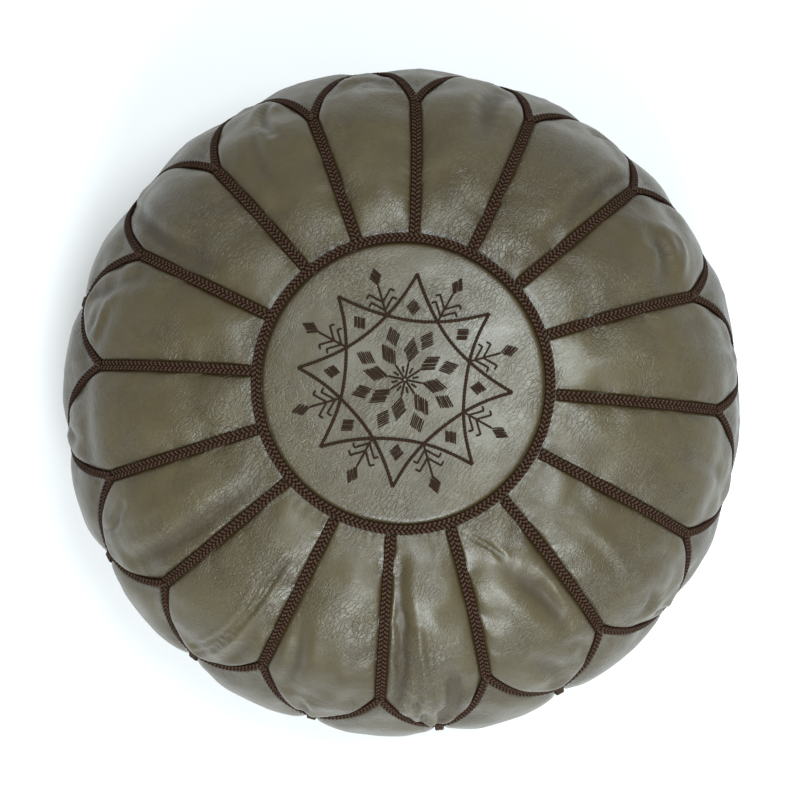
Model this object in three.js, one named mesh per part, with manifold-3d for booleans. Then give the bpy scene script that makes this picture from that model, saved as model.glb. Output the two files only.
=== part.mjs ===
// Moroccan leather pouf: a squat, stuffed seat sewn from goat leather panels, with plaited cords laid over every seam.
// Millimetres, +Z up. The origin is on the ground under the centre. Radial seams lie on +X, +Y and every 22.5 degrees.
// The cover is one smooth body of revolution. A place on it is an angle round the axis (phi), an angle down the
// meridian (theta: 0 at the crown, 90 degrees at the waist) and a lift, which is a height above the leather's face.
import * as THREE from 'three';
import { mergeVertices } from 'three/addons/utils/BufferGeometryUtils.js';
import Module from 'manifold-3d';

const wasm = await Module();
wasm.setup();

// Cover
const WAIST_RADIUS = 270;
const WAIST_Z = 142;
const CROWN_HEIGHT = 158;
const BELLY_DEPTH = 165;
const ROUNDNESS = 2.4;
const PANELS = 16;
const PANEL_ANGLE = (2 * Math.PI) / PANELS;
const LEATHER = 1.8;
const PUFF = 5;
const SEAM_GAP = 0.4;
const SCALLOP = 1.5;

// Seams, as radii from the axis
const MEDALLION_SEAM_RADIUS = 112;
const FORK_RADIUS = 237;
const TIP_RADIUS = 264;
const BASE_SEAM_RADIUS = 182;

// Mesh steps
const COLUMNS = 4;
const PETAL_ROWS = 7;
const SIDE_ROWS = 9;
const ROUND_STEPS = PANELS * COLUMNS;
const INNER_STEPS = ROUND_STEPS / 2;
const MERIDIAN_STEPS = 10;

// Coordinates are rounded to this, so that neighbouring facets share exact corners.
const SNAP = 1 / 1024;

// Plaited cords
const BRAID_WIDTH = 8.5;
const BRAID_CREST = 6;
const BRAID_HEIGHT = 2.2;
const BRAID_LIFT = 2;
const CORD_GAP = 1;

// Embroidered star: two interlaced squares with hollow sides
const STAR_TIP_RADIUS = 82;
const STAR_HOLLOW_RADIUS = 45.4;
const STAR_TURN = THREE.MathUtils.degToRad(-2);
const STAR_CORD_WIDTH = 2.4;
const STAR_CORD_HEIGHT = 1;
const STAR_LIFT = 0.4;
const STAR_STEPS = 6;

// Lining and stuffing, as depths under the leather's face
const LINING_DEPTH = 4;
const LINING = 0.9;
const FILL_DEPTH = 5.5;

// Base: a foot ring on the ground round a shallow recess that holds the zip
const FOOT_RADIUS = 166;
const FOOT_INNER_RADIUS = 142;
const RECESS_RADIUS = 132;
const RECESS_Z = 7;

// Zip
const SLIT_LENGTH = 236;
const SLIT_WIDTH = 14;
const TAPE_LENGTH = 246;
const TAPE_WIDTH = 14;
const TAPE_Z = 9;
const TAPE = 0.8;
const COIL_GAP = 1.6;
const COIL_WIDTH = 2.6;
const COIL_Z = 8.8;
const COIL_HEIGHT = 1.8;
const LINING_Z = 10.4;
const LINING_SLIT_WIDTH = 20;
const FILL_Z = 13;

// Zip slider and pull
const SLIDER_X = -104;
const SLIDER_LENGTH = 11;
const SLIDER_WIDTH = 10;
const PLATE_Z = 6.2;
const PLATE = 1.6;
const TOP_PLATE_Z = 11;
const TOP_PLATE = 1.2;
const WEB = 0.8;
const FLANGE = 1;
const TAPE_CLEARANCE = 0.4;
const BRIDGE_WIDTH = 2.8;
const BRIDGE_HALF_LENGTH = 4.4;
const BRIDGE_POST = 1.4;
const BRIDGE_Z = 2.2;
const BRIDGE_BAR = 1.2;
const PIVOT_Z = 4.9;
const PULL_LENGTH = 26;
const PULL_WIDTH = 8;
const PULL = 1.4;
const PULL_BAR = 1.6;
const PULL_WINDOW = 5;
const PULL_WINDOW_WIDTH = 4.8;
const PULL_HOLE_RADIUS = 1.6;
const PULL_TILT = THREE.MathUtils.degToRad(8.6);

const leather = new THREE.MeshStandardMaterial({ color: 0x5a5444, roughness: 0.45 });
const cordThread = new THREE.MeshStandardMaterial({ color: 0x38221c, roughness: 0.8 });
const cotton = new THREE.MeshStandardMaterial({ color: 0xc9bfa8, roughness: 0.95 });
const stuffing = new THREE.MeshStandardMaterial({ color: 0xe8e2d4, roughness: 1 });
const tapeCloth = new THREE.MeshStandardMaterial({ color: 0x3a3129, roughness: 0.9 });
const brass = new THREE.MeshStandardMaterial({ color: 0x9a7d4a, roughness: 0.35, metalness: 1 });

const pouf = new THREE.Group();

function addPart(name, geometry, material) {
  const positions = geometry.attributes.position.array;
  positions.forEach((value, i) => {
    positions[i] = Math.round(value / SNAP) * SNAP;
  });
  geometry.computeVertexNormals();
  const mesh = new THREE.Mesh(geometry, material);
  mesh.name = name;
  pouf.add(mesh);
  return mesh;
}

// --- Closed bodies ---

// Merges shared vertices and drops the flat triangles that a revolved profile has on its axis.
function welded(geometry) {
  geometry.deleteAttribute('normal');
  geometry.deleteAttribute('uv');
  const joined = mergeVertices(geometry, 1e-4);
  const corners = joined.index.array;
  const kept = [];
  for (let i = 0; i < corners.length; i += 3) {
    const [a, b, c] = corners.slice(i, i + 3);
    if (a !== b && b !== c && c !== a) kept.push(a, b, c);
  }
  joined.setIndex(kept);
  return joined;
}

function toSolid(geometry) {
  const body = welded(geometry);
  const vertProperties = new Float32Array(body.attributes.position.array);
  const triVerts = new Uint32Array(body.index.array);
  return new wasm.Manifold(new wasm.Mesh({ numProp: 3, vertProperties, triVerts }));
}

function toGeometry(solid) {
  const mesh = solid.getMesh();
  const geometry = new THREE.BufferGeometry();
  geometry.setAttribute('position', new THREE.BufferAttribute(new Float32Array(mesh.vertProperties), 3));
  geometry.setIndex([...mesh.triVerts]);
  return geometry;
}

// Revolves a closed outline of [radius, height] pairs, listed anticlockwise, round the Z axis.
function revolved(outline, steps) {
  const points = outline.map(([radius, height]) => new THREE.Vector2(Math.max(radius, 0), height));
  if (points[0].x > 0) points.push(points[0].clone());
  const geometry = new THREE.LatheGeometry(points, steps);
  geometry.rotateX(Math.PI / 2);
  return welded(geometry);
}

// A body between loops of equal length: consecutive loops are joined, and the ends are capped unless it closes on itself.
function lofted(loops, closesOnItself) {
  const size = loops[0].length;
  const positions = loops.flat().flatMap((point) => [point.x, point.y, point.z]);
  const index = [];
  const spans = closesOnItself ? loops.length : loops.length - 1;
  for (let i = 0; i < spans; i++) {
    const here = i * size;
    const there = ((i + 1) % loops.length) * size;
    for (let j = 0; j < size; j++) {
      const k = (j + 1) % size;
      index.push(here + j, here + k, there + k, here + j, there + k, there + j);
    }
  }
  if (!closesOnItself) {
    const last = (loops.length - 1) * size;
    for (let j = 1; j < size - 1; j++) index.push(0, j + 1, j, last, last + j, last + j + 1);
  }
  const geometry = new THREE.BufferGeometry();
  geometry.setAttribute('position', new THREE.Float32BufferAttribute(positions, 3));
  geometry.setIndex(index);
  return geometry;
}

// --- The cover's surface ---

// The meridian's radius and height at theta, and its outward normal.
function meridian(theta) {
  const power = 2 / ROUNDNESS;
  const side = theta <= Math.PI / 2 ? 1 : -1;
  const halfHeight = side > 0 ? CROWN_HEIGHT : BELLY_DEPTH;
  const across = Math.max(Math.sin(theta), 0) ** power;
  const along = Math.abs(Math.cos(theta)) ** power;
  const normal = new THREE.Vector2(
    across ** (ROUNDNESS - 1) / WAIST_RADIUS,
    (side * along ** (ROUNDNESS - 1)) / halfHeight,
  ).normalize();
  return { radius: WAIST_RADIUS * across, height: WAIST_Z + side * halfHeight * along, normal };
}

// Theta where the cover has the given radius, above or below the waist.
function thetaAt(radius, below = false) {
  const theta = Math.asin((radius / WAIST_RADIUS) ** (ROUNDNESS / 2));
  return below ? Math.PI - theta : theta;
}

function place(phi, theta, lift) {
  const { radius, height, normal } = meridian(theta);
  const r = radius + lift * normal.x;
  return new THREE.Vector3(r * Math.cos(phi), r * Math.sin(phi), height + lift * normal.y);
}

function surfaceNormal(phi, theta) {
  const { normal } = meridian(theta);
  return new THREE.Vector3(normal.x * Math.cos(phi), normal.x * Math.sin(phi), normal.y);
}

// How far theta turns for a length of leather along the meridian.
function turnFor(length, theta) {
  const step = 1e-3;
  const before = meridian(theta - step);
  const after = meridian(theta + step);
  const speed = Math.hypot(after.radius - before.radius, after.height - before.height) / (2 * step);
  return length / speed;
}

const MEDALLION_SEAM = thetaAt(MEDALLION_SEAM_RADIUS);
const FORK = thetaAt(FORK_RADIUS);
const TIP = thetaAt(TIP_RADIUS);
const BASE_SEAM = thetaAt(BASE_SEAM_RADIUS, true);

// The scalloped seam between petals and side panels: 0 is a petal's tip, 1 is the fork at the end of a radial seam.
function scallop(fromTip) {
  return TIP + (FORK - TIP) * fromTip ** SCALLOP;
}

// --- Leather ---

// A curved leather panel round the angle centre, which puffs up between its seams.
// top(across) and bottom(across) give theta on its two ends, for across from -1 to 1.
function panel(centre, rows, top, bottom) {
  const halfAngle = PANEL_ANGLE / 2;
  const corner = (column, row, depth) => {
    const across = (2 * column) / COLUMNS - 1;
    const down = row / rows;
    const theta = THREE.MathUtils.lerp(top(across), bottom(across), down);
    const inset = (across * SEAM_GAP) / meridian(theta).radius;
    const puff = PUFF * (1 - across ** 2) * (1 - (2 * down - 1) ** 4);
    return place(centre + across * halfAngle - inset, theta, puff - depth);
  };
  const loops = [];
  for (let column = 0; column <= COLUMNS; column++) {
    const outside = [];
    const inside = [];
    for (let row = 0; row <= rows; row++) {
      outside.push(corner(column, row, 0));
      inside.unshift(corner(column, row, LEATHER));
    }
    loops.push([...outside, ...inside]);
  }
  return welded(capStrips(loops, rows));
}

// Joins a panel's columns into one closed shell whose two side edges are capped row by row.
function capStrips(loops, rows) {
  const geometry = lofted(loops, false);
  const size = loops[0].length;
  const faces = [...geometry.index.array].slice(0, (loops.length - 1) * size * 6);
  const last = (loops.length - 1) * size;
  const caps = [];
  for (let row = 0; row < rows; row++) {
    const [a, b, c, d] = [row, row + 1, size - 2 - row, size - 1 - row];
    caps.push(a, c, b, a, d, c, last + a, last + b, last + c, last + a, last + c, last + d);
  }
  geometry.setIndex([...caps, ...faces]);
  return geometry;
}

function topMedallion() {
  const outside = [];
  const inside = [];
  const edge = thetaAt(MEDALLION_SEAM_RADIUS - SEAM_GAP);
  for (let ring = 0; ring <= 2; ring++) {
    const theta = (edge * ring) / 2;
    const { radius, height, normal } = meridian(theta);
    outside.push([radius, height]);
    inside.push([radius - LEATHER * normal.x, height - LEATHER * normal.y]);
  }
  return revolved([...inside, ...outside.reverse()], ROUND_STEPS);
}

function petal(number) {
  const start = MEDALLION_SEAM + turnFor(SEAM_GAP, MEDALLION_SEAM);
  const gap = turnFor(2 * SEAM_GAP, FORK);
  return panel((number + 0.5) * PANEL_ANGLE, PETAL_ROWS, () => start, (across) => scallop(Math.abs(across)) - gap);
}

function sidePanel(number) {
  const gap = turnFor(2 * SEAM_GAP, FORK);
  const end = BASE_SEAM - turnFor(SEAM_GAP, BASE_SEAM);
  return panel(number * PANEL_ANGLE, SIDE_ROWS, (across) => scallop(1 - Math.abs(across)) + gap, () => end);
}

// The base disc: it meets the side panels above the ground, stands on its foot ring and is hollowed round the zip.
function baseLeather() {
  const outer = meridian(BASE_SEAM + turnFor(SEAM_GAP, BASE_SEAM));
  const under = meridian((BASE_SEAM + thetaAt(FOOT_RADIUS, true)) / 2);
  const face = [
    [0, RECESS_Z],
    [RECESS_RADIUS, RECESS_Z],
    [FOOT_INNER_RADIUS, 0],
    [FOOT_RADIUS, 0],
    [under.radius, under.height],
    [outer.radius, outer.height],
  ];
  const back = [
    [outer.radius - LEATHER * outer.normal.x, outer.height - LEATHER * outer.normal.y],
    [FOOT_RADIUS, LEATHER],
    [FOOT_INNER_RADIUS + 1, LEATHER],
    [RECESS_RADIUS + 1, RECESS_Z + LEATHER],
    [0, RECESS_Z + LEATHER],
  ];
  const disc = toSolid(revolved([...face, ...back], ROUND_STEPS));
  const slit = new THREE.BoxGeometry(SLIT_LENGTH, SLIT_WIDTH, 4 * LEATHER);
  slit.translate(0, 0, RECESS_Z);
  return toGeometry(disc.subtract(toSolid(slit)));
}

// --- Plaited cords ---

// A flat cord along stops of { phi, theta }, lying on the leather. Corners are mitred.
function cord(stops, width, crest, height, lift, closesOnItself = false) {
  const points = stops.map(({ phi, theta }) => place(phi, theta, lift));
  const loops = points.map((point, i) => {
    const before = closesOnItself ? points.at(i - 1) : points[Math.max(i - 1, 0)];
    const after = closesOnItself ? points[(i + 1) % points.length] : points[Math.min(i + 1, points.length - 1)];
    const arriving = point.clone().sub(before).normalize();
    const leaving = after.clone().sub(point).normalize();
    const tangent = arriving.clone().add(leaving).normalize();
    const mitre = Math.min(1 / Math.max(tangent.dot(arriving), tangent.dot(leaving)), 2);
    const up = surfaceNormal(stops[i].phi, stops[i].theta);
    const side = new THREE.Vector3().crossVectors(up, tangent).normalize();
    const at = (across, above) => point.clone().addScaledVector(side, across * mitre).addScaledVector(up, above);
    return [at(width / 2, 0), at(crest / 2, height), at(-crest / 2, height), at(-width / 2, 0)];
  });
  return lofted(loops, closesOnItself);
}

function braid(stops, closesOnItself = false) {
  return cord(stops, BRAID_WIDTH, BRAID_CREST, BRAID_HEIGHT, BRAID_LIFT, closesOnItself);
}

// A plaited ring over a seam that runs round the axis at theta.
function ringBraid(theta) {
  const stops = [];
  for (let step = 0; step < ROUND_STEPS; step++) stops.push({ phi: (2 * Math.PI * step) / ROUND_STEPS, theta });
  return braid(stops, true);
}

// A plait down the meridian at phi, from one theta to another, with a stop at each row of the panels beside it.
function meridianBraid(phi, from, to, rowThetas) {
  const between = rowThetas.filter((theta) => theta > from && theta < to);
  return braid([from, ...between, to].map((theta) => ({ phi, theta })));
}

function radialBraid(number) {
  const rows = [];
  for (let row = 1; row < PETAL_ROWS; row++) rows.push(THREE.MathUtils.lerp(MEDALLION_SEAM, FORK, row / PETAL_ROWS));
  const from = MEDALLION_SEAM + turnFor(BRAID_WIDTH / 2 + CORD_GAP, MEDALLION_SEAM);
  const to = FORK - turnFor(BRAID_WIDTH / 2 + 3 * CORD_GAP, FORK);
  return meridianBraid(number * PANEL_ANGLE, from, to, rows);
}

// The plait round the scalloped seam, with a plait running down each side seam from the petal tips.
function rimBraid() {
  const armSteps = COLUMNS / 2;
  const stops = [];
  for (let number = 0; number < PANELS; number++) {
    const centre = (number + 0.5) * PANEL_ANGLE;
    for (let step = -armSteps; step < armSteps; step++) {
      const across = step / armSteps;
      stops.push({ phi: centre + (across * PANEL_ANGLE) / 2, theta: scallop(Math.abs(across)) });
    }
  }
  let whole = toSolid(braid(stops, true));
  const rows = [];
  for (let row = 1; row < SIDE_ROWS; row++) rows.push(THREE.MathUtils.lerp(TIP, BASE_SEAM, row / SIDE_ROWS));
  const end = BASE_SEAM - turnFor(BRAID_WIDTH / 2 + CORD_GAP, BASE_SEAM);
  for (let number = 0; number < PANELS; number++) {
    const drop = meridianBraid((number + 0.5) * PANEL_ANGLE, TIP, end, rows);
    whole = whole.add(toSolid(drop));
  }
  return toGeometry(whole);
}

// --- Embroidery ---

// One hollow-sided square of the star, as stops on the medallion.
function starSquare(turn) {
  const controlRadius = 2 * STAR_HOLLOW_RADIUS - STAR_TIP_RADIUS * Math.cos(Math.PI / 4);
  const onPlan = (radius, angle) => new THREE.Vector2(radius * Math.cos(angle), radius * Math.sin(angle));
  const stops = [];
  for (let side = 0; side < 4; side++) {
    const start = turn + (side * Math.PI) / 2;
    const curve = new THREE.QuadraticBezierCurve(
      onPlan(STAR_TIP_RADIUS, start),
      onPlan(controlRadius, start + Math.PI / 4),
      onPlan(STAR_TIP_RADIUS, start + Math.PI / 2),
    );
    for (let step = 0; step < STAR_STEPS; step++) {
      const point = curve.getPoint(step / STAR_STEPS);
      stops.push({ phi: point.angle(), theta: thetaAt(point.length()) });
    }
  }
  const crest = STAR_CORD_WIDTH / 2;
  return cord(stops, STAR_CORD_WIDTH, crest, STAR_CORD_HEIGHT, STAR_LIFT, true);
}

function embroideryStar() {
  const first = toSolid(starSquare(STAR_TURN));
  const second = toSolid(starSquare(STAR_TURN + Math.PI / 4));
  return toGeometry(first.add(second));
}

// --- Lining and stuffing ---

// The cover's meridian from the crown to just above the foot, at a depth under the leather's face.
function innerMeridian(depth) {
  const points = [];
  for (let step = 0; step <= MERIDIAN_STEPS; step++) {
    const { radius, height, normal } = meridian((thetaAt(FOOT_RADIUS, true) * step) / MERIDIAN_STEPS);
    points.push([radius - depth * normal.x, height - depth * normal.y]);
  }
  return points;
}

// A cotton bag inside the cover, open along the zip.
function lining() {
  const outside = innerMeridian(LINING_DEPTH);
  const inside = innerMeridian(LINING_DEPTH + LINING);
  const insideZ = LINING_Z + LINING;
  outside.push([FOOT_INNER_RADIUS, LINING_DEPTH], [RECESS_RADIUS, LINING_Z], [0, LINING_Z]);
  inside.push([FOOT_INNER_RADIUS, LINING_DEPTH + LINING], [RECESS_RADIUS, insideZ], [0, insideZ]);
  const bag = toSolid(revolved([...outside.reverse(), ...inside], INNER_STEPS));
  const mouth = new THREE.BoxGeometry(TAPE_LENGTH + 4, LINING_SLIT_WIDTH, 4);
  mouth.translate(0, 0, LINING_Z);
  return toGeometry(bag.subtract(toSolid(mouth)));
}

function fill() {
  const outline = innerMeridian(FILL_DEPTH);
  outline.push([FOOT_INNER_RADIUS, FILL_DEPTH], [RECESS_RADIUS, FILL_Z], [0, FILL_Z]);
  return revolved(outline.reverse(), INNER_STEPS);
}

// --- Zip ---

// Extrudes an outline of [y, z] pairs, listed anticlockwise as seen from +X, along X about the given middle.
function alongX(outline, length, middle) {
  const shape = new THREE.Shape(outline.map(([y, z]) => new THREE.Vector2(y, z)));
  const geometry = new THREE.ExtrudeGeometry(shape, { depth: length, bevelEnabled: false, steps: 1 });
  geometry.rotateX(Math.PI / 2);
  geometry.rotateZ(Math.PI / 2);
  geometry.translate(middle - length / 2, 0, 0);
  return welded(geometry);
}

// One zip tape with its coil. side is 1 for +Y and -1 for -Y.
function zipTape(side) {
  const coil = COIL_GAP / 2;
  const coilEnd = coil + COIL_WIDTH;
  const outline = [
    [coil, COIL_Z],
    [coilEnd, COIL_Z],
    [coilEnd, TAPE_Z],
    [coil + TAPE_WIDTH, TAPE_Z],
    [coil + TAPE_WIDTH, TAPE_Z + TAPE],
    [coilEnd, TAPE_Z + TAPE],
    [coilEnd, COIL_Z + COIL_HEIGHT],
    [coil, COIL_Z + COIL_HEIGHT],
  ];
  return alongX(outline.map(([y, z]) => [side * y, z]), TAPE_LENGTH, 0);
}

// Two plates joined by a web between the coils, with a bridge underneath for the pull.
function zipSlider() {
  const half = SLIDER_WIDTH / 2;
  const inner = half - FLANGE;
  const web = WEB / 2;
  const topPlate = TOP_PLATE_Z;
  const right = [
    [half, PLATE_Z],
    [half, TAPE_Z - TAPE_CLEARANCE],
    [inner, TAPE_Z - TAPE_CLEARANCE],
    [inner, PLATE_Z + PLATE],
    [web, PLATE_Z + PLATE],
    [web, topPlate],
    [inner, topPlate],
    [inner, TAPE_Z + TAPE + TAPE_CLEARANCE],
    [half, TAPE_Z + TAPE + TAPE_CLEARANCE],
    [half, topPlate + TOP_PLATE],
  ];
  const left = right.map(([y, z]) => [-y, z]).reverse();
  const body = toSolid(alongX([...right, ...left], SLIDER_LENGTH, 0));
  const post = BRIDGE_HALF_LENGTH - BRIDGE_POST;
  const bridge = new THREE.Shape([
    new THREE.Vector2(-BRIDGE_HALF_LENGTH, PLATE_Z + PLATE / 2),
    new THREE.Vector2(-BRIDGE_HALF_LENGTH, BRIDGE_Z),
    new THREE.Vector2(BRIDGE_HALF_LENGTH, BRIDGE_Z),
    new THREE.Vector2(BRIDGE_HALF_LENGTH, PLATE_Z + PLATE / 2),
    new THREE.Vector2(post, PLATE_Z + PLATE / 2),
    new THREE.Vector2(post, BRIDGE_Z + BRIDGE_BAR),
    new THREE.Vector2(-post, BRIDGE_Z + BRIDGE_BAR),
    new THREE.Vector2(-post, PLATE_Z + PLATE / 2),
  ]);
  const arch = new THREE.ExtrudeGeometry(bridge, { depth: BRIDGE_WIDTH, bevelEnabled: false, steps: 1 });
  arch.rotateX(Math.PI / 2);
  arch.translate(0, BRIDGE_WIDTH / 2, 0);
  return toGeometry(body.add(toSolid(arch)));
}

// A flat tab that swings on its own crossbar, which lies under the slider's bridge. Its pivot is at the local origin.
function zipPull() {
  const half = PULL_WIDTH / 2;
  const bar = PULL_BAR / 2;
  const tab = new THREE.Shape();
  tab.moveTo(-bar, -half);
  tab.lineTo(PULL_LENGTH - half, -half);
  tab.absarc(PULL_LENGTH - half, 0, half, -Math.PI / 2, Math.PI / 2, false);
  tab.lineTo(-bar, half);
  tab.closePath();
  const windowHalf = PULL_WINDOW_WIDTH / 2;
  const window = new THREE.Path([
    new THREE.Vector2(bar, -windowHalf),
    new THREE.Vector2(bar, windowHalf),
    new THREE.Vector2(bar + PULL_WINDOW, windowHalf),
    new THREE.Vector2(bar + PULL_WINDOW, -windowHalf),
  ]);
  const hole = new THREE.Path();
  hole.absarc(PULL_LENGTH - half, 0, PULL_HOLE_RADIUS, 0, 2 * Math.PI, true);
  tab.holes.push(window, hole);
  const geometry = new THREE.ExtrudeGeometry(tab, { depth: PULL, bevelEnabled: false, curveSegments: 6, steps: 1 });
  geometry.translate(0, 0, -PULL / 2);
  return welded(geometry);
}

// --- Assembly ---

function numbered(name, number) {
  return `${name}_${String(number + 1).padStart(2, '0')}`;
}

addPart('top_medallion', topMedallion(), leather);
for (let number = 0; number < PANELS; number++) addPart(numbered('top_petal', number), petal(number), leather);
for (let number = 0; number < PANELS; number++) addPart(numbered('side_panel', number), sidePanel(number), leather);
addPart('base_leather', baseLeather(), leather);

addPart('medallion_braid', ringBraid(MEDALLION_SEAM), cordThread);
for (let number = 0; number < PANELS; number++) {
  addPart(numbered('radial_braid', number), radialBraid(number), cordThread);
}
addPart('rim_braid', rimBraid(), cordThread);
addPart('base_braid', ringBraid(BASE_SEAM), cordThread);
addPart('embroidery_star', embroideryStar(), cordThread);

addPart('lining', lining(), cotton);
addPart('fill', fill(), stuffing);

addPart('zip_tape_left', zipTape(1), tapeCloth);
addPart('zip_tape_right', zipTape(-1), tapeCloth);
addPart('zip_slider', zipSlider(), brass).position.set(SLIDER_X, 0, 0);
const pull = addPart('zip_pull', zipPull(), brass);
pull.position.set(SLIDER_X, 0, PIVOT_Z);
pull.rotation.y = PULL_TILT;

export default pouf;
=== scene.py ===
"""Looks of the Moroccan leather pouf: puffed goat leather panels, plaited cords over the seams, an
embroidered medallion and a zip in the base. Metres, +Z up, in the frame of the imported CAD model.

A place on the cover is an angle round the axis (phi), an angle down the meridian (theta: 0 at the crown, 90
degrees at the waist) and a lift above the smooth cover. Seams run at fixed places on it, and the leather
puffs up between them.
"""
import math

import bpy
import numpy as np
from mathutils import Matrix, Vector, kdtree, noise


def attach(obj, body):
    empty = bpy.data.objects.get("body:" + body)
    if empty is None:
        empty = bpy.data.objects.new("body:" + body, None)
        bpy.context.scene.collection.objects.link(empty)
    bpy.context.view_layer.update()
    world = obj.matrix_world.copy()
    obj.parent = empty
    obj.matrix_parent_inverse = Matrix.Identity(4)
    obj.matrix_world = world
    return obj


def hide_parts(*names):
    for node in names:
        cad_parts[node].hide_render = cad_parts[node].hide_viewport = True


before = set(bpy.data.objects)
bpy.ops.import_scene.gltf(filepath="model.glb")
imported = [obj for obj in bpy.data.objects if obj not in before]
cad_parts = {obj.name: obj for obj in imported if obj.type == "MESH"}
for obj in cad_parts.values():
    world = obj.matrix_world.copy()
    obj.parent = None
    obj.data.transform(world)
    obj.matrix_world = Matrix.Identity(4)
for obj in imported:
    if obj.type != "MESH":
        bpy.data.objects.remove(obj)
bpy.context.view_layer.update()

MM = 0.001
TAU = 2 * math.pi
BODY = "pouf"

# Cover, as in the CAD model
WAIST_RADIUS = 0.270
WAIST_Z = 0.142
CROWN_HEIGHT = 0.158
BELLY_DEPTH = 0.165
ROUNDNESS = 2.4
PANELS = 16
PANEL_ANGLE = TAU / PANELS
SCALLOP = 1.5
MEDALLION_SEAM_RADIUS = 0.112
FORK_RADIUS = 0.237
TIP_RADIUS = 0.268
BASE_SEAM_RADIUS = 0.182

# A stuffed cover is never quite round: longer along X, shorter along Y, most of all at the waist
OVAL = 0.008
OVAL_TRIM = 0.004

# Leather mesh: columns in a panel and rows down the petals and the side panels, before they are refined
PANEL_COLUMNS = 24
PETAL_ROWS = 34
SIDE_ROWS = 40

# Plaited cord
STRANDS = 5
STRAND_WIDTH = 2.15 * MM
STRAND_HEIGHT = 1.7 * MM
BRAID_WIDTH = 8.0 * MM
RIM_BRAID_WIDTH = 7.2 * MM
BRAID_PITCH = 19 * MM
BRAID_STEPS = 22
BRAID_LIFT = 2.0 * MM
BRAID_WEAVE = 0.85 * MM
TUBE_SIDES = 6
THREAD_END = 0.35

rng = np.random.default_rng(16)


# --- Mesh helpers ---

def linked(name, data):
    made = bpy.data.objects.new(name, data)
    bpy.context.scene.collection.objects.link(made)
    return made


def mesh_object(name, points, face_sets, material, values=None):
    """An object from points (n, 3) and arrays of faces (m, corners). values are named numbers per point."""
    mesh = bpy.data.meshes.new(name)
    points = np.asarray(points, dtype=np.float32).reshape(-1, 3)
    sets = [np.asarray(faces, dtype=np.int32) for faces in face_sets if len(faces)]
    corners = np.concatenate([faces.ravel() for faces in sets])
    sizes = np.concatenate([np.full(len(faces), faces.shape[1]) for faces in sets])
    starts = np.concatenate([[0], np.cumsum(sizes)[:-1]])
    mesh.vertices.add(len(points))
    mesh.vertices.foreach_set("co", points.ravel())
    mesh.loops.add(len(corners))
    mesh.loops.foreach_set("vertex_index", corners)
    mesh.polygons.add(len(sizes))
    mesh.polygons.foreach_set("loop_start", starts.astype(np.int32))
    mesh.update(calc_edges=True)
    mesh.validate()
    mesh.polygons.foreach_set("use_smooth", np.ones(len(mesh.polygons), dtype=bool))
    for key, numbers in (values or {}).items():
        layer = mesh.attributes.new(key, "FLOAT", "POINT")
        layer.data.foreach_set("value", np.asarray(numbers, dtype=np.float32).ravel())
    made = linked(name, mesh)
    mesh.materials.append(material)
    return made


def assign(piece, node=None, body=BODY):
    """Says which body a piece rides on and which CAD node it stands for, and hides that node."""
    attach(piece, body)
    if node:
        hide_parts(node)


def grid_faces(rows, columns, closes=False, loops=False):
    """Quads of a grid of points listed row by row. closes joins the last column to the first, loops the
    last row."""
    spans = (rows if loops else rows - 1, columns if closes else columns - 1)
    row, column = np.indices(spans)
    below, beside = (row + 1) % rows, (column + 1) % columns
    corners = ((row, column), (below, column), (below, beside), (row, beside))
    return np.stack([r * columns + c for r, c in corners], axis=-1).reshape(-1, 4)


def unit(vectors):
    return vectors / np.maximum(np.linalg.norm(vectors, axis=-1, keepdims=True), 1e-12)


def tangents_of(points, closes=False):
    """Unit directions along a line of points."""
    steps = np.roll(points, -1, 0) - np.roll(points, 1, 0) if closes else np.gradient(points, axis=0)
    return unit(steps)


def along(points):
    """Length along a line of points, from its start."""
    steps = np.linalg.norm(np.diff(points, axis=0), axis=1)
    return np.concatenate([[0], np.cumsum(steps)])


def resampled(points, step, lengths=None):
    """A line of points at an even step, with its ends kept. lengths is how far along each point lies."""
    lengths = along(points) if lengths is None else lengths
    count = max(int(round(lengths[-1] / step)), 2)
    wanted = np.linspace(0, lengths[-1], count + 1)
    return np.stack([np.interp(wanted, lengths, values) for values in points.T], axis=1)


def rounded(points, window, closes):
    """A line of points with its corners rounded by a moving average."""
    reach = window // 2
    if closes:
        padded = np.concatenate([points[-reach:], points, points[:reach]])
    else:
        padded = np.concatenate([np.repeat(points[:1], reach, 0), points, np.repeat(points[-1:], reach, 0)])
    kernel = np.ones(2 * reach + 1) / (2 * reach + 1)
    smooth = np.stack([np.convolve(padded[:, axis], kernel, "valid") for axis in range(3)], axis=1)
    if not closes:
        smooth[0], smooth[-1] = points[0], points[-1]
    return smooth


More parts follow.
